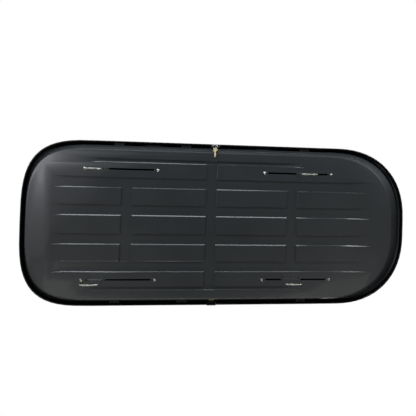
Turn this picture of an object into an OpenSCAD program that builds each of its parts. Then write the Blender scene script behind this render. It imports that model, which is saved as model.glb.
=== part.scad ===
// Car roof box that opens from both sides: a tray clamped to two roof bars and a streamlined lid.
// Units are millimetres. X runs to the front, Y to the left side, Z up. Z = 0 is under the U-bolts.

/* [Which piece] */
// One piece by name, or all of them together

/* [Overall size] */
// Half of the box's length over the lid skirt
half_l = 1030; // [990:5:1070]
// Half of the box's width over the lid skirt
half_w = 432; // [428:1:440]
// Height of the tray's underside above the bottom of the U-bolts
floor_z = 65; // [60:1:70]
// Thickness of the tray's moulded sheet
tray_wall = 4; // [3.5:0.5:4.5]
// Thickness of the lid's moulded sheet
lid_wall = 4; // [3.5:0.5:4.5]

/* [Corner shape] */
// Points along each corner curve
corner_steps = 16; // [10:1:18]
// Length of the front corner curve
front_corner_x = 390; // [360:5:420]
// Width of the front corner curve
front_corner_y = 385; // [360:5:400]
// Squareness of the front corners
front_n = 2.25; // [2.1:0.05:2.6]
// Length of the rear corner curve
rear_corner_x = 376; // [350:2:390]
// Width of the rear corner curve
rear_corner_y = 420; // [400:2:424]
// Squareness of the rear corners
rear_n = 3.3; // [2.8:0.1:3.4]

/* [Floor relief] */
// Middle of the cross channels along the length
grid_x = -56; // [-60:1:-50]
// Distance between cross channels
channel_pitch = 435; // [425:1:440]
// Width of each cross channel
channel_w = 60; // [54:1:64]
// Depth of every channel in the floor
channel_depth = 6; // [4:0.5:7]
// Slope of a channel's side walls, measured along the floor
channel_draft = 4; // [2:0.5:5]
// Length over which a channel rises out of the floor at its front end
front_ramp = 150; // [60:5:180]
// Length over which a channel rises out of the floor at its rear end
rear_ramp = 60; // [30:5:90]

/* [U-bolt mounts] */
// Distance of each slot inside the outer face of the lid skirt
slot_inset = 147; // [145:1:149]
// Middle of each slot from the middle of the grid
slot_x = 465; // [460:1:468]
// Overall length of a slot
slot_l = 330; // [310:5:334]
// Half the width of a slot
slot_r = 4.5; // [4.2:0.1:5]
// Distance from the end of a slot to the middle of the bolt beyond it
slot_to_bolt = 18.5; // [17:0.5:20]
// Half the distance between the legs of a U-bolt
leg_x = 42; // [40:0.5:43]
// Radius of the U-bolt's rod
rod_r = 3.5; // [3.4:0.05:3.6]
// Distance of the two rear U-bolts from the rear end of their slots
rear_bolt_in = 46; // [46:1:120]
// Place of the front U-bolt on the left side
front_left_x = 385; // [370:1:400]
// Place of the front U-bolt on the right side
front_right_x = 454; // [440:1:465]

/* [Hinges and locks] */
// Distance of both hinge lines inside the outer face of the lid skirt
hinge_inset = 13; // [12.8:0.1:13.2]
// Height of both hinge lines
hinge_z = 106; // [105.8:0.1:106.2]
// Radius of a hinge pin
pin_r = 2.5; // [2.4:0.05:2.6]
// Place of the locks along the box
lock_x = -42; // [-46:1:-38]
// Height of the locks
lock_z = 115; // [114.8:0.1:115.2]
// Radius of a lock cylinder
lock_r = 7; // [6.8:0.1:7.1]
// Radius of the lock rods inside the lid
bar_r = 4; // [3.8:0.1:4.2]

/* [Hidden] */

round_steps = 48;
slot_y = half_w - slot_inset;
track_bolt_pitch = slot_l + 2 * slot_to_bolt;
track_l = slot_l + 60;
rear_bolt_x = grid_x - slot_x - slot_l / 2 + rear_bolt_in;
hinge_y = half_w - hinge_inset;
tray_y = half_w - 22;
tray_front = half_l - 30;
tray_rear = half_l - 22;
tray_top_z = 122;
track_z = floor_z + tray_wall;
track_t = 2.5;
clamp_z = track_z + track_t;
clamp_t = 3;
knob_z = clamp_z + clamp_t;
claw_places = [480 - half_l, -200, half_l - 580];
rest_places = [610 - half_l, half_l - 850];
rod_y = half_w - 40;
rod_z = 170;
stub_z = 148;
stub_r = 3;
housing_w = 48;
housing_top = 137;
skirt_z = 98;
eye_y = half_w - 3;
eye_z = 83;
eye_r = 2.2;
ring_wire = 0.9;
ring_r = 14;
ring_slope = 40;
key_slope = 20;
key_roll = 42;
key_hole_r = 3.2;
touch = 0.1;
key_slack = 0.8;
// Where the ring's wire lies in the eye and in the spare key's hole
ring_top = [-eye_y + eye_r - ring_wire - touch, eye_z];
ring_low = ring_top + 2 * ring_r * [cos(ring_slope), -sin(ring_slope)];
key_at = ring_low + (key_hole_r - ring_wire - key_slack + 4.5) * [cos(key_slope), -sin(key_slope)];
hub_clear = 0.05;
slot_centres = [grid_x - slot_x, grid_x + slot_x];
row_walls = [44, 105, half_w - 245, half_w - 186, half_w - 113, half_w - 91];
// Half of the opening in skirt, trim, seal and tray wall where a lock stands
lock_gap = 30;

// Half length and half width at which the lid's insets are drawn, and how far the box differs
drawn = [1030, 432];
long = half_l / drawn[0];
wide = half_w / drawn[1];
// Lid outline by height: [z, side inset, front inset, rear inset]
lid_rings = [[skirt_z, 0, 0, 0], [116, 0, 0, 0], [122, 4, 5, 4], [127, 11, 14, 11],
    [165, 17, 40, 17], [230, 27, 100, 28], [290, 41, 185, 44], [330, 62, 280, 70],
    [355, 92, 385, 108], [372, 135, 500, 160], [383, 190, 630, 240], [390, 260, 780, 360],
    [394, 330, 930, 520]];

// Tray outline outside: [z, half width, front end, rear end]
tray_outer = [[floor_z, tray_y - 30, tray_front - 64, 32 - tray_rear],
    [floor_z + 2, tray_y - 23, tray_front - 56, 25 - tray_rear],
    [floor_z + 7, tray_y - 19, tray_front - 48, 20 - tray_rear],
    [98, tray_y - 2, tray_front - 10, 4 - tray_rear],
    [104, tray_y, tray_front, -tray_rear], [tray_top_z, tray_y, tray_front, -tray_rear]];
// Tray outline inside, from the top down to the floor
tray_inner = [[tray_top_z, tray_y - tray_wall, tray_front - tray_wall, tray_wall - tray_rear],
    [104, tray_y - tray_wall, tray_front - tray_wall, tray_wall - tray_rear],
    [99, tray_y - tray_wall - 2, tray_front - tray_wall - 10, tray_wall + 4 - tray_rear],
    [floor_z + 9, tray_y - 24, tray_front - 54, 25 - tray_rear],
    [floor_z + tray_wall, tray_y - 32, tray_front - 66, 34 - tray_rear]];

// One closed outline at height z with half width b, front end xf and rear end xr
function ring(z, b, xf, xr) = let(
        s = (xf - xr) / (2 * half_l),
        q = b / half_w,
        fx = front_corner_x * s,
        fy = front_corner_y * q,
        rx = rear_corner_x * s,
        ry = rear_corner_y * q,
        k = corner_steps,
        e = 2 / front_n,
        g = 2 / rear_n)
    concat(
        [for (i = [0 : k]) let(t = 90 * i / k)
            [xf - fx + fx * pow(cos(t), e), b - fy + fy * pow(sin(t), e), z]],
        [for (i = [0 : k]) let(t = 90 - 90 * i / k)
            [xr + rx - rx * pow(cos(t), g), b - ry + ry * pow(sin(t), g), z]],
        [for (i = [0 : k]) let(t = 90 * i / k)
            [xr + rx - rx * pow(cos(t), g), ry - b - ry * pow(sin(t), g), z]],
        [for (i = [0 : k]) let(t = 90 - 90 * i / k)
            [xf - fx + fx * pow(cos(t), e), fy - b - fy * pow(sin(t), e), z]]);

function lid_outer(r) = ring(r[0], half_w - r[1] * wide, half_l - r[2] * long, r[3] * long - half_l);
function lid_inner(r, drop) = ring(r[0] - drop, half_w - r[1] * wide - lid_wall,
    half_l - r[2] * long - lid_wall, r[3] * long + lid_wall - half_l);
function side_inset(z) = lookup(z, [for (r = lid_rings) [r[0], r[1] * wide]]);
function lid_inside_y(z) = half_w - side_inset(z) - lid_wall;

// Skin through a list of outlines, closed by a cap at each end
module loft(rings) {
    n = len(rings[0]);
    m = len(rings);
    polyhedron(
        points = [for (r = rings) each r],
        faces = concat(
            [[for (i = [0 : n - 1]) i]],
            [[for (i = [0 : n - 1]) m * n - 1 - i]],
            [for (j = [0 : m - 2], i = [0 : n - 1]) each [
                [j * n + i, (j + 1) * n + i, (j + 1) * n + (i + 1) % n],
                [j * n + i, (j + 1) * n + (i + 1) % n, j * n + (i + 1) % n]]]),
        convexity = 8);
}

// Skin through a list of outlines that comes back to the first, for a strip around the box
module closed_strip(rings) {
    n = len(rings[0]);
    m = len(rings);
    polyhedron(
        points = [for (r = rings) each r],
        faces = [for (j = [0 : m - 1], i = [0 : n - 1]) each [
            [j * n + i, ((j + 1) % m) * n + i, ((j + 1) % m) * n + (i + 1) % n],
            [j * n + i, ((j + 1) % m) * n + (i + 1) % n, j * n + (i + 1) % n]]],
        convexity = 8);
}

// Block with sloping sides, given its low outline, its height range and its slopes; dr is the
// length of its rear ramp, df of its front ramp and dy of its sides
module ramp_block(x0, x1, y0, y1, z0, z1, dr, df, dy) {
    polyhedron(
        points = [[x0, y0, z0], [x1, y0, z0], [x1, y1, z0], [x0, y1, z0],
            [x0 + dr, y0 + dy, z1], [x1 - df, y0 + dy, z1],
            [x1 - df, y1 - dy, z1], [x0 + dr, y1 - dy, z1]],
        faces = [[0, 1, 2, 3], [7, 6, 5, 4], [0, 4, 5, 1], [1, 5, 6, 2], [2, 6, 7, 3], [3, 7, 4, 0]]);
}

// Every channel of the floor; grow widens the set for the ridges above it
module channels(z0, z1, grow) {
    d = channel_draft;
    for (s = [-1, 1]) {
        ramp_block(140 - tray_rear - grow, tray_front - 157 + grow,
            (s > 0 ? row_walls[0] : -row_walls[1]) - grow,
            (s > 0 ? row_walls[1] : -row_walls[0]) + grow, z0, z1, rear_ramp, front_ramp, d);
        ramp_block(147 - tray_rear - grow, tray_front - 163 + grow,
            (s > 0 ? row_walls[2] : -row_walls[3]) - grow,
            (s > 0 ? row_walls[3] : -row_walls[2]) + grow, z0, z1, rear_ramp, front_ramp, d);
        ramp_block(323 - tray_rear - grow, tray_front - 528 + grow,
            (s > 0 ? row_walls[4] : -row_walls[5]) - grow,
            (s > 0 ? row_walls[5] : -row_walls[4]) + grow, z0, z1, rear_ramp, front_ramp, d);
        ramp_block(grid_x + s * channel_pitch - channel_w / 2 - grow,
            grid_x + s * channel_pitch + channel_w / 2 + grow,
            -row_walls[2] - 6, row_walls[2] + 6, z0, z1, d, d, d);
    }
    ramp_block(grid_x - channel_w / 2 - grow, grid_x + channel_w / 2 + grow,
        -row_walls[4] - 6, row_walls[4] + 6, z0, z1, d, d, d);
}

// Long round-ended opening of the U-bolt slots
module slot_cut(z0, z1) {
    for (s = [-1, 1])
        translate([s * (slot_l / 2 - slot_r), 0, z0])
            cylinder(r = slot_r, h = z1 - z0, $fn = round_steps);
    translate([slot_r - slot_l / 2, -slot_r, z0])
        cube([slot_l - 2 * slot_r, 2 * slot_r, z1 - z0]);
}

module at_slots() {
    for (x = slot_centres, y = [-slot_y, slot_y])
        translate([x, y, 0])
            children();
}

module at_track_bolts(r, z0, z1) {
    at_slots()
        for (s = [-1, 1])
            translate([s * track_bolt_pitch / 2, 0, z0])
                cylinder(r = r, h = z1 - z0, $fn = round_steps);
}

module tray() {
    color("#17181a")
    difference() {
        union() {
            loft([for (r = concat(tray_outer, tray_inner)) ring(r[0], r[1], r[2], r[3])]);
            channels(track_z - 0.5, track_z + channel_depth, channel_draft);
        }
        channels(floor_z - 1, floor_z + channel_depth, 0);
        at_slots()
            slot_cut(floor_z - 2, track_z + 2);
        at_track_bolts(3.2, floor_z - 2, track_z + 2);
        for (s = [-1, 1])
            translate([lock_x - lock_gap, s * (tray_y - 5) - 15, 99])
                cube([2 * lock_gap, 30, 40]);
    }
}

// Rubber strip over the tray's edge, cut where the locks pass
module tray_seal() {
    t = tray_wall;
    rings = [[tray_top_z - 3, 1], [tray_top_z + 4, 1], [tray_top_z + 4, -t - 1],
        [tray_top_z - 3, -t - 1], [tray_top_z - 3, -t], [tray_top_z, -t], [tray_top_z, 0],
        [tray_top_z - 3, 0]];
    color("#0b0b0c")
    difference() {
        closed_strip([for (r = rings) ring(r[0], tray_y + r[1], tray_front + r[1], -tray_rear - r[1])]);
        for (s = [-1, 1])
            translate([lock_x - lock_gap, s * tray_y - 20, 110])
                cube([2 * lock_gap, 40, 30]);
    }
}

// Steel reinforcing strip on top of the floor around one slot
module track(x, y) {
    color("#8b8f92")
    translate([x, y, track_z])
        difference() {
            translate([-track_l / 2, -22, 0])
                cube([track_l, 44, track_t]);
            slot_cut(-1, track_t + 1);
            for (s = [-1, 1])
                translate([s * track_bolt_pitch / 2, 0, -1])
                    cylinder(r = 3.2, h = track_t + 2, $fn = round_steps);
        }
}

module front_left_track() track(slot_centres[1], slot_y);
module front_right_track() track(slot_centres[1], -slot_y);
module rear_left_track() track(slot_centres[0], slot_y);
module rear_right_track() track(slot_centres[0], -slot_y);

// Dome-headed bolts from below through tray and track
module track_bolts() {
    color("#c9cbcb")
    at_slots()
        for (s = [-1, 1])
            translate([s * track_bolt_pitch / 2, 0, 0]) {
                translate([0, 0, floor_z - 1.2])
                    cylinder(r = 6.8, h = 1.2, $fn = round_steps);
                translate([0, 0, floor_z - 3.4])
                    cylinder(r1 = 3.6, r2 = 6.4, h = 2.2, $fn = round_steps);
                translate([0, 0, floor_z - 0.1])
                    cylinder(r = 3, h = clamp_z + 6.6 - floor_z, $fn = round_steps);
            }
}

module track_nuts() {
    color("#8b8f92")
    at_slots()
        for (s = [-1, 1])
            translate([s * track_bolt_pitch / 2, 0, clamp_z])
                difference() {
                    cylinder(r = 5.8, h = 5, $fn = 6);
                    translate([0, 0, -1])
                        cylinder(r = 3 + hub_clear, h = 7, $fn = round_steps);
                }
}

// Cylinder lying along X through a point of the YZ plane
module rod_x(x0, x1, y, z, r) {
    translate([x0, y, z])
        rotate([0, 90, 0])
            cylinder(r = r, h = x1 - x0, $fn = round_steps);
}

// Box given by its limits
module block(x0, x1, y0, y1, z0, z1) {
    translate([x0, y0, z0])
        cube([x1 - x0, y1 - y0, z1 - z0]);
}

module brackets() {
    color("#2a2b2d")
    for (x = claw_places)
        difference() {
            union() {
                block(x - 24, x + 24, tray_y, tray_y + 1, 104.5, 112);
                for (s = [-1, 1])
                    block(x + s * 22 - 2, x + s * 22 + 2, tray_y, hinge_y + 5, 102, 112);
            }
            rod_x(x - 30, x + 30, hinge_y, hinge_z, pin_r + 0.02);
        }
}

module hinge_pins() {
    color("#9a9da0")
    for (x = claw_places)
        rod_x(x - 25, x + 25, hinge_y, hinge_z, pin_r);
}

// Claws that stand up from the hinge line and take the lock rod's stubs
module claws() {
    color("#1c1d1f")
    for (x = claw_places)
        difference() {
            union() {
                rod_x(x - 18, x + 18, hinge_y, hinge_z, 4.5);
                block(x - 18, x + 18, tray_y + 1.5, tray_y + 4, hinge_z, 130.5);
                block(x - 18, x + 18, tray_y + 2, hinge_y - 3, hinge_z - 2, hinge_z + 4);
                block(x - 18, x + 18, rod_y - 7, tray_y + 4, 128, 130.5);
                block(x - 2, x + 2, rod_y - 8, rod_y + 10, 129, 150);
                rod_x(x - 2, x + 2, rod_y, 150, 8);
            }
            rod_x(x - 30, x + 30, hinge_y, hinge_z, pin_r + hub_clear);
            rod_x(x - 5, x + 5, rod_y, stub_z, stub_r + 0.2);
        }
}

module strike_plate() {
    color("#b89a55")
    intersection() {
        block(lock_x - 13, lock_x + 13, tray_y - 20, tray_y + 10, 84, 98);
        difference() {
            loft([for (r = [tray_outer[2], tray_outer[3]]) ring(r[0], r[1] + 1.5, r[2], r[3])]);
            loft([for (r = [tray_outer[2], tray_outer[3]]) ring(r[0], r[1], r[2], r[3])]);
        }
    }
}

// Outer face of the tray's wall at height z, on a straight side
function wall_y(z) = lookup(z, [for (r = tray_outer) [r[0], r[1]]]);

// Upright tab with the hole that holds the key ring
module key_eye() {
    color("#b89a55")
    translate([lock_x - 1, 0, 0])
        rotate([90, 0, 90])
            linear_extrude(2)
                difference() {
                    polygon([[wall_y(eye_z - 3.5), eye_z - 3.5], [half_w, eye_z - 3.5],
                        [half_w, eye_z + 3.5], [wall_y(eye_z + 3.5), eye_z + 3.5]]);
                    translate([eye_y, eye_z])
                        circle(r = eye_r, $fn = round_steps);
                }
}

module left_brackets() brackets();
module right_brackets() mirror([0, 1, 0]) brackets();
module left_hinge_pins() hinge_pins();
module right_hinge_pins() mirror([0, 1, 0]) hinge_pins();
module left_strike_plate() strike_plate();
module right_strike_plate() mirror([0, 1, 0]) {
    strike_plate();
    key_eye();
}
module left_claws() claws();
module right_claws() mirror([0, 1, 0]) claws();

module lid() {
    m = len(lid_rings);
    color("#0d0e10")
    difference() {
        union() {
            loft(concat(
                [for (i = [m - 1 : -1 : 0]) lid_inner(lid_rings[i], i < m - 3 ? 0 : lid_wall)],
                [for (r = lid_rings) lid_outer(r)]));
            for (x = rest_places, s = [-1, 1])
                translate([x, s * (tray_y + 2) - 6.5, tray_top_z + 4])
                    cube([80, 13, 6]);
        }
        for (s = [-1, 1])
            translate([lock_x - housing_w / 2 - 0.3, s * (half_w - 8) - 16, 80])
                cube([housing_w + 0.6, 32, housing_top + 0.3 - 80]);
    }
}

// Moulded strip along the bottom of the lid skirt
module lid_edge_trim() {
    low = skirt_z - 4;
    high = skirt_z + 6;
    rings = [[low, 0.8], [high, 0.8], [high, 0], [skirt_z, 0], [skirt_z, -lid_wall],
        [high, -lid_wall], [high, -lid_wall - 1.2], [low, -lid_wall - 1.2]];
    color("#08090a")
    difference() {
        closed_strip([for (r = rings) ring(r[0], half_w + r[1], half_l + r[1], -half_l - r[1])]);
        for (s = [-1, 1])
            translate([lock_x - housing_w / 2 - 0.3, s * (half_w - 8) - 16, 80])
                cube([housing_w + 0.6, 32, 50]);
    }
}

// Shallow hat-shaped bar under the roof of the lid
module roof_stiffener() {
    flat = lid_rings[len(lid_rings) - 1];
    top = flat[0] - lid_wall;
    w = 60 * wide;
    front = half_l - flat[2] * long - 50;
    rear = flat[3] * long + 50 - half_l;
    color("#1b1c1e")
    difference() {
        block(rear, front, -w, w, top - 12, top);
        block(rear + 3, front - 3, -w / 2, w / 2, top - 9, top + 1);
        for (s = [-1, 1])
            translate([0, s * (w + 4), 0])
                block(rear - 1, front + 1, -w / 2, w / 2, top - 13, top - 3);
    }
}

// Pairs of cheeks inside the lid that carry the lock rod
module rod_guides() {
    color("#1b1c1e")
    for (x = claw_places)
        difference() {
            for (s = [-1, 1])
                translate([x + s * 30 - 1.5, 0, 0])
                    rotate([90, 0, 90])
                        linear_extrude(3)
                            polygon([[rod_y - 10, 160], [lid_inside_y(160), 160],
                                [lid_inside_y(165), 165], [lid_inside_y(182), 182],
                                [rod_y - 10, 182]]);
            rod_x(x - 40, x + 40, rod_y, rod_z, bar_r + 0.1);
        }
}

// Cup in the skirt with the lock's bore in its back wall
module lock_housing() {
    w = housing_w / 2;
    color("#131416")
    difference() {
        block(lock_x - w, lock_x + w, half_w - 14, half_w + 1, skirt_z - 1, housing_top);
        block(lock_x - w + 2.5, lock_x + w - 2.5, half_w - 11, half_w + 2, skirt_z - 2,
            housing_top - 2.5);
        translate([lock_x, half_w - 22, lock_z])
            rotate([-90, 0, 0])
                cylinder(r = lock_r + hub_clear, h = 30, $fn = round_steps);
    }
}

// Lock cylinder with keyway, cam disc and crank pin
module lock_cylinder() {
    color("#b9bcbe")
    translate([lock_x, half_w - 30, lock_z])
        difference() {
            rotate([-90, 0, 0]) {
                cylinder(r = lock_r, h = 21, $fn = round_steps);
                cylinder(r = 13, h = 2.5, $fn = round_steps);
                rotate([0, 0, -45])
                    translate([0, -10, -5.5])
                        cylinder(r = 2.2, h = 6, $fn = round_steps);
            }
            block(-1.3, 1.3, 3, 22, -4.3, 4.3);
        }
}

// Sliding rod inside the lid with its yoke over the crank pin and one stub for each claw
module lock_rod() {
    pin_x = lock_x - 10 * sin(45);
    color("#9a9da0")
    difference() {
        union() {
            rod_x(claw_places[0] - 50, claw_places[2] + 70, rod_y, rod_z, bar_r);
            for (x = claw_places) {
                block(x - 22, x - 18, rod_y - 4, rod_y + 4, stub_z, rod_z);
                rod_x(x - 22, x - 18, rod_y, stub_z, 4);
                rod_x(x - 19, x - 4, rod_y, stub_z, stub_r);
            }
            block(pin_x - 8, pin_x + 8, rod_y - 4, rod_y + 8.5, rod_z - 4, rod_z + 6);
            block(pin_x - 8, pin_x + 8, rod_y + 5.5, rod_y + 8.5, lock_z - 1, rod_z);
        }
        block(pin_x - 2.6, pin_x + 2.6, rod_y + 4, rod_y + 10, lock_z + 3, lock_z + 15);
    }
}

// Clip-on cover over the lock that has no key in it
module left_lock_cover() {
    w = housing_w / 2;
    color("#0b0c0d")
    difference() {
        union() {
            block(lock_x - w, lock_x + w, half_w + 1, half_w + 3, skirt_z - 4, housing_top);
            block(lock_x - w + 7, lock_x + w - 7, half_w + 3, half_w + 6, skirt_z + 4,
                housing_top - 6);
            block(lock_x - w + 2.6, lock_x + w - 2.6, half_w - 4, half_w + 1, skirt_z - 4,
                skirt_z - 1.1);
        }
        block(lock_x - w + 11, lock_x + w - 11, half_w + 5, half_w + 8, skirt_z + 8,
            housing_top - 10);
    }
}

module left_rod_guides() rod_guides();
module right_rod_guides() mirror([0, 1, 0]) rod_guides();
module left_lock_housing() lock_housing();
module right_lock_housing() mirror([0, 1, 0]) lock_housing();
module left_lock_cylinder() lock_cylinder();
module right_lock_cylinder() mirror([0, 1, 0]) lock_cylinder();
module left_lock_rod() lock_rod();
module right_lock_rod() mirror([0, 1, 0]) lock_rod();

// Flat key, 2.2 thick, bow centre at the origin and blade along +X
module flat_key(blade_l) {
    linear_extrude(2.2, center = true)
        difference() {
            union() {
                circle(r = 9, $fn = round_steps);
                for (s = [-1, 1])
                    translate([2, s * 6])
                        circle(r = 7.5, $fn = round_steps);
                translate([2, -6])
                    square([7.5, 12]);
                translate([5, -4])
                    square([blade_l + 1, 8]);
                translate([blade_l + 5.9, 0])
                    circle(r = 4, $fn = 8);
            }
            translate([-4.5, 0])
                circle(r = key_hole_r, $fn = round_steps);
        }
}

module lock_key() {
    color("#b9a878")
    translate([lock_x, -half_w - 0.5, lock_z])
        rotate([90, 0, 90])
            flat_key(14);
}

// Ring through the eye and the spare key
module key_ring() {
    mid = (ring_top + ring_low) / 2;
    color("#c3c5c6")
    translate([lock_x, mid[0], mid[1]])
        rotate([-ring_slope, 0, 0])
            rotate_extrude($fn = round_steps)
                translate([ring_r, 0])
                    circle(r = ring_wire, $fn = 16);
}

module spare_key() {
    color("#b9a878")
    translate([lock_x, key_at[0], key_at[1]])
        rotate([-key_slope, 0, 0])
            rotate([0, 0, 90])
                rotate([key_roll, 0, 0])
                    flat_key(32);
}

// U-bolt under the roof bar, its legs through the slot
module u_bolt(x, y) {
    top = knob_z + 33;
    bend = 12;
    color("#b7b39a")
    translate([x, y, 0]) {
        for (s = [-1, 1]) {
            translate([s * leg_x, 0, rod_r + bend])
                cylinder(r = rod_r, h = top - rod_r - bend, $fn = round_steps);
            translate([s * (leg_x - bend), 0, rod_r + bend])
                rotate([90, 0, 0])
                    rotate([0, 0, s > 0 ? -90 : 180])
                        rotate_extrude(angle = 90, $fn = round_steps)
                            translate([bend, 0])
                                circle(r = rod_r, $fn = 24);
        }
        rod_x(bend - leg_x, leg_x - bend, 0, rod_r, rod_r);
    }
}

module clamp(x, y) {
    color("#8b8f92")
    translate([x, y, clamp_z])
        difference() {
            block(-52, 52, -18, 18, 0, clamp_t);
            for (s = [-1, 1])
                translate([s * leg_x, 0, -1])
                    cylinder(r = rod_r + 0.1, h = clamp_t + 2, $fn = round_steps);
        }
}

// Hand knob on one leg
module knob(x, y) {
    lobes = 5;
    color("#141517")
    translate([x, y, knob_z])
        difference() {
            union() {
                cylinder(r = 9, h = 8, $fn = round_steps);
                translate([0, 0, 7]) {
                    cylinder(r = 15, h = 16, $fn = round_steps);
                    for (i = [0 : lobes - 1])
                        rotate([0, 0, 360 * i / lobes])
                            translate([13.5, 0, 0])
                                cylinder(r = 5.5, h = 16, $fn = round_steps);
                }
            }
            translate([0, 0, -1])
                cylinder(r = rod_r + hub_clear, h = 30, $fn = round_steps);
        }
}

module front_left_u_bolt() u_bolt(front_left_x, slot_y);
module front_right_u_bolt() u_bolt(front_right_x, -slot_y);
module rear_left_u_bolt() u_bolt(rear_bolt_x, slot_y);
module rear_right_u_bolt() u_bolt(rear_bolt_x, -slot_y);
module front_left_clamp() clamp(front_left_x, slot_y);
module front_right_clamp() clamp(front_right_x, -slot_y);
module rear_left_clamp() clamp(rear_bolt_x, slot_y);
module rear_right_clamp() clamp(rear_bolt_x, -slot_y);
module front_left_knob_a() knob(front_left_x + leg_x, slot_y);
module front_left_knob_b() knob(front_left_x - leg_x, slot_y);
module front_right_knob_a() knob(front_right_x + leg_x, -slot_y);
module front_right_knob_b() knob(front_right_x - leg_x, -slot_y);
module rear_left_knob_a() knob(rear_bolt_x + leg_x, slot_y);
module rear_left_knob_b() knob(rear_bolt_x - leg_x, slot_y);
module rear_right_knob_a() knob(rear_bolt_x + leg_x, -slot_y);
module rear_right_knob_b() knob(rear_bolt_x - leg_x, -slot_y);

tray();
tray_seal();
front_left_track();
front_right_track();
rear_left_track();
rear_right_track();
track_bolts();
track_nuts();
left_brackets();
right_brackets();
left_hinge_pins();
right_hinge_pins();
left_strike_plate();
right_strike_plate();
left_claws();
right_claws();
lid();
lid_edge_trim();
roof_stiffener();
left_rod_guides();
right_rod_guides();
left_lock_housing();
right_lock_housing();
left_lock_cover();
left_lock_cylinder();
right_lock_cylinder();
left_lock_rod();
right_lock_rod();
lock_key();
key_ring();
spare_key();
front_left_u_bolt();
front_right_u_bolt();
rear_left_u_bolt();
rear_right_u_bolt();
front_left_clamp();
front_right_clamp();
rear_left_clamp();
rear_right_clamp();
front_left_knob_a();
front_left_knob_b();
front_right_knob_a();
front_right_knob_b();
rear_left_knob_a();
rear_left_knob_b();
rear_right_knob_a();
rear_right_knob_b();
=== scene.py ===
import math

import bmesh
import bpy
from mathutils import Matrix, Vector


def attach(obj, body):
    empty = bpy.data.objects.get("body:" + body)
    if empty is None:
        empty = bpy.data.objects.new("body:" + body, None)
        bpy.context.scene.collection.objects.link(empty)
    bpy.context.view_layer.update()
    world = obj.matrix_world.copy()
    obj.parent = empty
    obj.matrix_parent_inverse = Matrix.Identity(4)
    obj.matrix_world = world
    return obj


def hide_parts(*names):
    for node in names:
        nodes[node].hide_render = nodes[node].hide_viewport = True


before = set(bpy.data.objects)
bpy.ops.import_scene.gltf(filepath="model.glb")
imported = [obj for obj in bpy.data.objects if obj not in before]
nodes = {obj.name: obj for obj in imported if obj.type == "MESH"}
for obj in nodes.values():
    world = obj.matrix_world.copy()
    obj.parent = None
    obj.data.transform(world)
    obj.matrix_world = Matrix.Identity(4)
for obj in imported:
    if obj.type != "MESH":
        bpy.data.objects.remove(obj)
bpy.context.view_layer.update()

# ---- Camera --------------------------------------------------------------------
# The photograph looks up at the floor of the box from below. Its right is the front of
# the box and its top is the right-hand side. The values were fitted to the places of the
# channels, slots and bolts in the photograph.
PHOTO_PX = 416
FOCAL_PX = 260.0
SENSOR_MM = 36.0
EYE = (0.0050, -0.2940, -1.3190)
TURN_DEG = (-0.54, -4.16, 1.62)
CENTRE_PX = (34.6, -40.0)


def add_camera():
    lens = bpy.data.cameras.new("camera")
    lens.lens = FOCAL_PX / PHOTO_PX * SENSOR_MM
    lens.sensor_width = SENSOR_MM
    lens.shift_x = -CENTRE_PX[0] / PHOTO_PX
    lens.shift_y = CENTRE_PX[1] / PHOTO_PX
    lens.clip_start = 0.02
    camera = bpy.data.objects.new("camera", lens)
    bpy.context.scene.collection.objects.link(camera)
    turn = Vector([math.radians(angle) for angle in TURN_DEG])
    towards = Matrix.Rotation(turn.length, 3, turn.normalized()).transposed()
    right, down, ahead = (towards @ Vector(axis) for axis in ((1, 0, 0), (0, 1, 0), (0, 0, 1)))
    axes = Matrix((right, -down, -ahead)).transposed()
    camera.matrix_world = Matrix.Translation(EYE) @ axes.to_4x4()
    bpy.context.scene.camera = camera


add_camera()
bpy.context.scene.view_settings.view_transform = "Standard"


# ---- Tray ----------------------------------------------------------------------
# The floor of the box: one 4 mm sheet of black ABS, vacuum formed over a mould, with
# drafted channels that stiffen it. Moulding leaves no sharp edges, so the tray is shown
# as a copy of its solid with small radii, which catch the light.
TRAY_RADIUS = 0.0034
TRAY_CREASE_DEG = 14
TRAY_SMOOTH_DEG = 50
WELD_GAP = 2e-5
FLAT_DEG = 0.6
RADIUS_STEPS = 3

# How far the patches of a finish part in tone and in roughness, and how hard its grain is.
PATCH_STOPS = (0.35, 0.62)
PATCH_GLOSSIER = 0.06
PATCH_DULLER = 0.08
LEAST_ROUGH = 0.02
GRAIN_STRENGTH = 0.6

# Where a cross channel runs into a long one, the solid keeps a low ridge, whose crest is
# at RIDGE_Z. The copy moves that crest up to the channels' floor, so the two run through.
CHANNEL_MEETS_Y = (0.190, 0.322)
RIDGE_Z = 0.0695
CHANNEL_FLOOR_Z = 0.071
RIDGE_REACH = 0.0005


def linear(hex_colour):
    """The linear colour of an sRGB hex value."""
    shares = [int(hex_colour[i:i + 2], 16) / 255 for i in (1, 3, 5)]
    return tuple(s / 12.92 if s <= 0.04045 else ((s + 0.055) / 1.055) ** 2.4 for s in shares) + (1.0,)


def node(tree, kind, inputs):
    """Adds a node, and sets or links each of its inputs, which a name or a number picks."""
    made = tree.nodes.new(kind)
    for key, value in inputs.items():
        if isinstance(value, bpy.types.NodeSocket):
            tree.links.new(value, made.inputs[key])
        else:
            made.inputs[key].default_value = value
    return made


def add_patches(tree, surface, place, width_mm, dark, light, rough):
    """Uneven tone and gloss, in soft patches of the given width."""
    cloud = node(tree, "ShaderNodeTexNoise", {"Vector": place, "Scale": 1000 / width_mm, "Detail": 4.0})
    tone = node(tree, "ShaderNodeValToRGB", {"Fac": cloud.outputs["Fac"]})
    for stop, position, colour in zip(tone.color_ramp.elements, PATCH_STOPS, (dark, light)):
        stop.position = position
        stop.color = linear(colour)
    gloss = node(tree, "ShaderNodeMapRange", {
        "Value": cloud.outputs["Fac"],
        "To Min": max(rough - PATCH_GLOSSIER, LEAST_ROUGH), "To Max": rough + PATCH_DULLER})
    tree.links.new(tone.outputs[0], surface.inputs["Base Color"])
    tree.links.new(gloss.outputs[0], surface.inputs["Roughness"])


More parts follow.
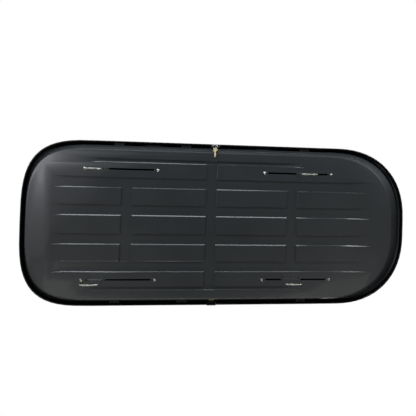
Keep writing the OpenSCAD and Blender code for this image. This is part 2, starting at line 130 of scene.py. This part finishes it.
def add_grain(tree, surface, place, width_mm, depth_mm):
    """A fine relief of the given width and depth."""
    fine = node(tree, "ShaderNodeTexNoise", {"Vector": place, "Scale": 1000 / width_mm, "Detail": 3.0})
    relief = node(tree, "ShaderNodeBump", {
        "Height": fine.outputs["Fac"], "Distance": depth_mm / 1000, "Strength": GRAIN_STRENGTH})
    tree.links.new(relief.outputs[0], surface.inputs["Normal"])


def finish(name, colour, rough, grain, metal=0.0, specular=0.5, coat=(0.0, 0.1, 1.5),
           brushed=None, patches=None):
    """A material. grain is the width and depth of its relief and patches the width and darker
    colour of its uneven tone, in millimetres. coat is the weight, roughness and IOR of a
    clear skin, and brushed shrinks the pattern along each axis, into lines."""
    made = bpy.data.materials.new(name)
    made.use_nodes = True
    tree = made.node_tree
    tree.nodes.clear()
    surface = node(tree, "ShaderNodeBsdfPrincipled", {
        "Base Color": linear(colour), "Metallic": metal, "Roughness": rough,
        "Specular IOR Level": specular,
        "Coat Weight": coat[0], "Coat Roughness": coat[1], "Coat IOR": coat[2]})
    node(tree, "ShaderNodeOutputMaterial", {"Surface": surface.outputs[0]})
    place = node(tree, "ShaderNodeTexCoord", {}).outputs["Object"]
    if brushed:
        place = node(tree, "ShaderNodeMapping", {"Vector": place, "Scale": brushed}).outputs[0]
    if patches:
        add_patches(tree, surface, place, patches[0], patches[1], colour, rough)
    add_grain(tree, surface, place, grain[0], grain[1])
    return made


def paint(material, *names):
    for name in names:
        nodes[name].data.materials.clear()
        nodes[name].data.materials.append(material)


def welded_copy(name):
    """A copy of a solid's mesh, with its loose triangles joined at their corners."""
    mesh = bmesh.new()
    mesh.from_mesh(nodes[name].data)
    bmesh.ops.remove_doubles(mesh, verts=mesh.verts, dist=WELD_GAP)
    return mesh


def flatten_ridges(mesh):
    for vert in mesh.verts:
        for meet_y in CHANNEL_MEETS_Y:
            beside = abs(abs(vert.co.y) - meet_y) < RIDGE_REACH
            if beside and abs(vert.co.z - RIDGE_Z) < RIDGE_REACH:
                vert.co.z = CHANNEL_FLOOR_Z


def merge_flat_faces(mesh):
    bmesh.ops.dissolve_limit(mesh, angle_limit=math.radians(FLAT_DEG), verts=mesh.verts,
                             edges=mesh.edges, use_dissolve_boundaries=False)


def shade(mesh, smooth_deg):
    """Turns the faces outwards, smooth over each edge that is blunter than the angle."""
    bmesh.ops.recalc_face_normals(mesh, faces=mesh.faces)
    for edge in mesh.edges:
        edge.smooth = edge.calc_face_angle(0.0) < math.radians(smooth_deg)
    for face in mesh.faces:
        face.smooth = True


def show_copy(mesh, name, body, material):
    """Shows the mesh in place of the solid that it was copied from."""
    data = bpy.data.meshes.new(name + "_skin")
    mesh.to_mesh(data)
    mesh.free()
    data.materials.append(material)
    piece = bpy.data.objects.new(name + "_skin", data)
    bpy.context.scene.collection.objects.link(piece)
    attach(piece, body)
    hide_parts(name)
    return piece


def round_edges(piece, radius, crease_deg):
    """Rounds each edge that is sharper than the crease angle."""
    bevel = piece.modifiers.new("edge_radius", "BEVEL")
    bevel.width = radius
    bevel.segments = RADIUS_STEPS
    bevel.limit_method = "ANGLE"
    bevel.angle_limit = math.radians(crease_deg)
    bevel.harden_normals = True


# Vacuum-formed ABS: a very dark grey under a satin skin, in which a window shows as a
# soft glow. The real grain is finer, and is drawn this coarse so that it shows.
satin_abs = finish("satin_black_abs", "#1f2224", 0.42, grain=(1.11, 0.1), specular=0.3,
                   coat=(1.0, 0.12, 1.7), patches=(200.0, "#1c1f21"))

tray_mesh = welded_copy("tray")
flatten_ridges(tray_mesh)
merge_flat_faces(tray_mesh)
shade(tray_mesh, TRAY_SMOOTH_DEG)
tray_skin = show_copy(tray_mesh, "tray", "box_tray", satin_abs)
round_edges(tray_skin, TRAY_RADIUS, TRAY_CREASE_DEG)
paint(satin_abs, "tray")


# ---- Tray seal -----------------------------------------------------------------
# A strip of extruded rubber, pushed over the tray's upper edge. The lid closes round it,
# and it is left open where the locks stand.
SEAL_SMOOTH_DEG = 50

# Extruded rubber: dull and nearly black, with a dusty, matt skin.
rubber = finish("rubber", "#0c0c0d", 0.75, grain=(1.43, 0.4), specular=0.3)

seal_mesh = welded_copy("tray_seal")
merge_flat_faces(seal_mesh)
shade(seal_mesh, SEAL_SMOOTH_DEG)
seal_skin = show_copy(seal_mesh, "tray_seal", "box_tray", rubber)
paint(rubber, "tray_seal")


# ---- Tracks, bolts and nuts ----------------------------------------------------
# A rolled steel strip lies on the tray's floor round each of the four slots and stiffens
# it. A domed bolt at either end of the slot goes up through the tray and the strip, to a
# nut inside the box.
CORNERS = ("front_left", "front_right", "rear_left", "rear_right")

# Rolled and plated steel: grey, with drawn lines along its length.
plated_steel = finish("plated_steel", "#a9acae", 0.38, grain=(25.0, 0.2), metal=1.0,
                      brushed=(1.0, 30.0, 30.0), patches=(33.3, "#8d9092"))

# Zinc-plated and pressed steel: paler, a little mottled and soft in its shine.
zinc_steel = finish("zinc_steel", "#b2b3ab", 0.34, grain=(2.0, 0.04), metal=1.0,
                    patches=(16.7, "#8a897c"))

paint(plated_steel, *(corner + "_track" for corner in CORNERS))
paint(zinc_steel, "track_bolts", "track_nuts")


# ---- Hinge brackets, pins and claws --------------------------------------------
# Three pressed steel brackets stand on each side of the tray. A moulded nylon claw turns
# in each on a plain steel pin, so that the lid can open from either side.
SIDES = ("left", "right")

# Powder-coated steel: a dense black with a slight shine.
black_steel = finish("black_steel", "#0c0d0e", 0.45, grain=(1.67, 0.2), patches=(25.0, "#08090a"))

# Injection-moulded nylon: a soft black, finely spark-eroded and without any gloss.
black_nylon = finish("black_nylon", "#15161a", 0.5, grain=(0.83, 0.3), patches=(20.0, "#101114"))

paint(black_steel, *(side + "_brackets" for side in SIDES))
paint(plated_steel, *(side + "_hinge_pins" for side in SIDES))
paint(black_nylon, *(side + "_claws" for side in SIDES))


# ---- Strike plates -------------------------------------------------------------
# A bent steel plate sits on the tray's wall under each lock, and shows as a golden glint
# in the gap. The right one has the eye on which the key ring hangs.

# Yellow-passivated zinc on steel: pale gold, cloudy and gently shining.
yellow_zinc = finish("yellow_zinc", "#dcc88c", 0.34, grain=(2.5, 0.2), metal=1.0,
                     patches=(11.1, "#b79d55"))

paint(yellow_zinc, *(side + "_strike_plate" for side in SIDES))


# ---- Lid, edge trim and stiffener ----------------------------------------------
# The upper shell is vacuum formed from ABS with a glossy film. A moulded strip runs along
# the bottom of its skirt, and a shallow hat-shaped bar stiffens the roof from inside.
LID_SMOOTH_DEG = 32
TRIM_SMOOTH_DEG = 50
TRIM_RIM_Z = 0.094
TRIM_RIM_RADIUS = 0.0022
RIM_MIN_ANGLE = 1.0
RIM_REACH = 1e-4


def round_rim(mesh, height, radius):
    """Rounds the sharp edges that lie at one height."""
    rim = [edge for edge in mesh.edges
           if all(abs(vert.co.z - height) < RIM_REACH for vert in edge.verts)
           and edge.calc_face_angle(0.0) > RIM_MIN_ANGLE]
    bmesh.ops.bevel(mesh, geom=rim, offset=radius, segments=RADIUS_STEPS, profile=0.5,
                    affect="EDGES", material=-1)
    for face in mesh.faces:
        face.smooth = True


# ABS with a co-extruded gloss film: near black and shiny, with the long, slight waves
# that a formed sheet has.
gloss_abs = finish("gloss_black_abs", "#090a0c", 0.24, grain=(71.4, 0.4), coat=(0.6, 0.1, 1.5),
                   patches=(333.0, "#07080a"))

lid_mesh = welded_copy("lid")
merge_flat_faces(lid_mesh)
shade(lid_mesh, LID_SMOOTH_DEG)
lid_skin = show_copy(lid_mesh, "lid", "lid_shell", gloss_abs)

trim_mesh = welded_copy("lid_edge_trim")
merge_flat_faces(trim_mesh)
shade(trim_mesh, TRIM_SMOOTH_DEG)
round_rim(trim_mesh, TRIM_RIM_Z, TRIM_RIM_RADIUS)
trim_skin = show_copy(trim_mesh, "lid_edge_trim", "lid_shell", gloss_abs)

paint(gloss_abs, "lid", "lid_edge_trim")
paint(satin_abs, "roof_stiffener")


# ---- Lock housings, cover and guides -------------------------------------------
# Nylon mouldings, fixed in the lid's skirt: a cup round each lock, a clip-on cover over
# the left one, and pairs of cheeks that guide the rods. A thin sill, which the solid
# lacks, closes the bottom of the right cup's recess.
HOUSING_RADIUS = 0.0008
HOUSING_CREASE_DEG = 40
HOUSING_SMOOTH_DEG = 50
SILL_LOW = Vector((-0.063, -0.4325, 0.0972))
SILL_HIGH = Vector((-0.021, -0.4205, 0.0987))


def add_sill(mesh):
    middle = (SILL_LOW + SILL_HIGH) / 2
    size = SILL_HIGH - SILL_LOW
    place = Matrix.Translation(middle) @ Matrix.Diagonal(size).to_4x4()
    bmesh.ops.create_cube(mesh, size=1.0, matrix=place)


housing_mesh = welded_copy("right_lock_housing")
merge_flat_faces(housing_mesh)
add_sill(housing_mesh)
shade(housing_mesh, HOUSING_SMOOTH_DEG)
housing_skin = show_copy(housing_mesh, "right_lock_housing", "lid_shell", black_nylon)
round_edges(housing_skin, HOUSING_RADIUS, HOUSING_CREASE_DEG)

paint(black_nylon, "left_lock_cover")
for side in SIDES:
    paint(black_nylon, side + "_lock_housing", side + "_rod_guides")


# ---- Lock cylinders and rods ---------------------------------------------------
# A turned cylinder with a cam disc and a crank pin sits in the back wall of each cup. The
# pin slides a drawn steel rod along the lid, and the rod's stubs enter the claws.

# Polished and chromed steel: a light, clear mirror with only the finest scratches.
bright_steel = finish("bright_steel", "#d2d4d5", 0.18, grain=(3.33, 0.08), metal=1.0,
                      patches=(12.5, "#b9bbbd"))

for side in SIDES:
    paint(bright_steel, side + "_lock_cylinder")
    paint(plated_steel, side + "_lock_rod")


# ---- Keys and ring -------------------------------------------------------------
# Two flat keys, stamped from the same blank. One stands in the right lock, and the spare
# hangs from the right strike plate's eye, on a ring of spring wire.

# Nickel brass: pale gold and worn dull at the edges by the pocket.
key_brass = finish("key_brass", "#ddd0a0", 0.4, grain=(2.86, 0.12), metal=0.8,
                   patches=(8.33, "#b9a773"))

paint(key_brass, "lock_key", "spare_key")
paint(bright_steel, "key_ring")


# ---- U-bolts, clamp plates and knobs -------------------------------------------
# A bent and zinc-plated U-bolt goes round the roof bar and up through each slot. Inside
# the box its legs pass a steel plate on the track, and two nylon knobs pull them tight.
for corner in CORNERS:
    paint(zinc_steel, corner + "_u_bolt")
    paint(plated_steel, corner + "_clamp")
    paint(black_nylon, corner + "_knob_a", corner + "_knob_b")


# ---- Surroundings and light ----------------------------------------------------
# The camera sees white all round. To the surfaces the room is dim, and darkest level with
# the box. A broad window stands beyond the photograph's left, with thin strips along the
# other sides and softer panels below and above.
WHITE = (1.0, 1.0, 1.0, 1.0)
ROOM_BELOW = (0.125, 0.132, 0.134, 1.0)
ROOM_BESIDE = (0.03, 0.032, 0.034, 1.0)
ROOM_ABOVE = (0.12, 0.125, 0.13, 1.0)
ROOM_STOPS = ((0.2, ROOM_BELOW), (0.36, ROOM_BESIDE), (0.62, ROOM_BESIDE), (0.8, ROOM_ABOVE))
BOX_MIDDLE = (0.0, 0.0, 0.05)
SMALLEST_OVAL = 0.5
LARGEST_OVAL = 1.75


def add_room():
    """Dim light by height for the surfaces, and plain white for the camera."""
    world = bpy.data.worlds.new("room")
    bpy.context.scene.world = world
    world.use_nodes = True
    tree = world.node_tree
    tree.nodes.clear()
    direction = node(tree, "ShaderNodeTexCoord", {}).outputs["Generated"]
    height = node(tree, "ShaderNodeSeparateXYZ", {"Vector": direction}).outputs["Z"]
    share = node(tree, "ShaderNodeMapRange", {"Value": height, "From Min": -1.0})
    tone = node(tree, "ShaderNodeValToRGB", {"Fac": share.outputs[0]})
    tone.color_ramp.elements[0].color = ROOM_BELOW
    tone.color_ramp.elements[1].color = ROOM_ABOVE
    for place, colour in ROOM_STOPS:
        tone.color_ramp.elements.new(place).color = colour
    room = node(tree, "ShaderNodeBackground", {"Color": tone.outputs[0], "Strength": 1.0})
    backdrop = node(tree, "ShaderNodeBackground", {"Color": WHITE, "Strength": 1.0})
    camera_ray = node(tree, "ShaderNodeLightPath", {}).outputs["Is Camera Ray"]
    seen = node(tree, "ShaderNodeMixShader",
                {0: camera_ray, 1: room.outputs[0], 2: backdrop.outputs[0]})
    node(tree, "ShaderNodeOutputWorld", {"Surface": seen.outputs[0]})


def add_panel(name, place, aim, size, watts, colour, ovals=0):
    """A rectangular lamp of the given width and height, or a stack of ovals of growing size
    that share its watts, so that its reflection fades towards the rim."""
    growth = LARGEST_OVAL - SMALLEST_OVAL
    stretches = [SMALLEST_OVAL + growth * i / (ovals - 1) for i in range(ovals)] or [1.0]
    for stretch in stretches:
        lamp = bpy.data.lights.new(name, "AREA")
        lamp.shape = "ELLIPSE" if ovals else "RECTANGLE"
        lamp.size = size[0] * stretch
        lamp.size_y = size[1] * stretch
        lamp.energy = watts / len(stretches)
        lamp.color = linear(colour)[:3]
        stand = bpy.data.objects.new(name, lamp)
        bpy.context.scene.collection.objects.link(stand)
        stand.location = place
        stand.rotation_euler = (Vector(aim) - Vector(place)).to_track_quat("-Z", "Y").to_euler()


add_room()
add_panel("window_left", (-2.9, -0.7, -1.5), (-0.5, 0.0, 0.05), (2.4, 2.4), 57, "#f2f2fa", ovals=8)
add_panel("strip_top", (-0.35, -2.3, -0.9), BOX_MIDDLE, (3.3, 0.6), 88, "#eef5fb")
add_panel("panel_low_right", (1.7, 1.7, -1.9), (0.4, 0.1, 0.05), (2.8, 2.2), 7, "#fffcf4", ovals=6)
add_panel("panel_low_left", (-1.9, 1.7, -1.7), (-0.5, 0.2, 0.05), (2.2, 1.8), 6, "#fffcf4", ovals=6)
add_panel("strip_front", (2.3, -1.5, -0.65), (0.6, -0.2, 0.05), (1.7, 0.4), 42, "#f4f7fc")
add_panel("strip_rear", (-2.4, -1.4, -0.45), (-0.6, -0.2, 0.05), (1.5, 0.25), 9, "#f4f7fc")
add_panel("strip_bottom", (0.0, 2.3, -0.45), BOX_MIDDLE, (3.4, 0.25), 30, "#fffdf8")
add_panel("panel_above", (-0.6, -1.4, 2.6), (0.0, 0.0, 0.2), (2.4, 1.6), 95, "#ffffff")
add_panel("panel_behind", (1.8, 1.9, 1.6), (0.0, 0.0, 0.2), (1.4, 1.0), 30, "#fff7ec")
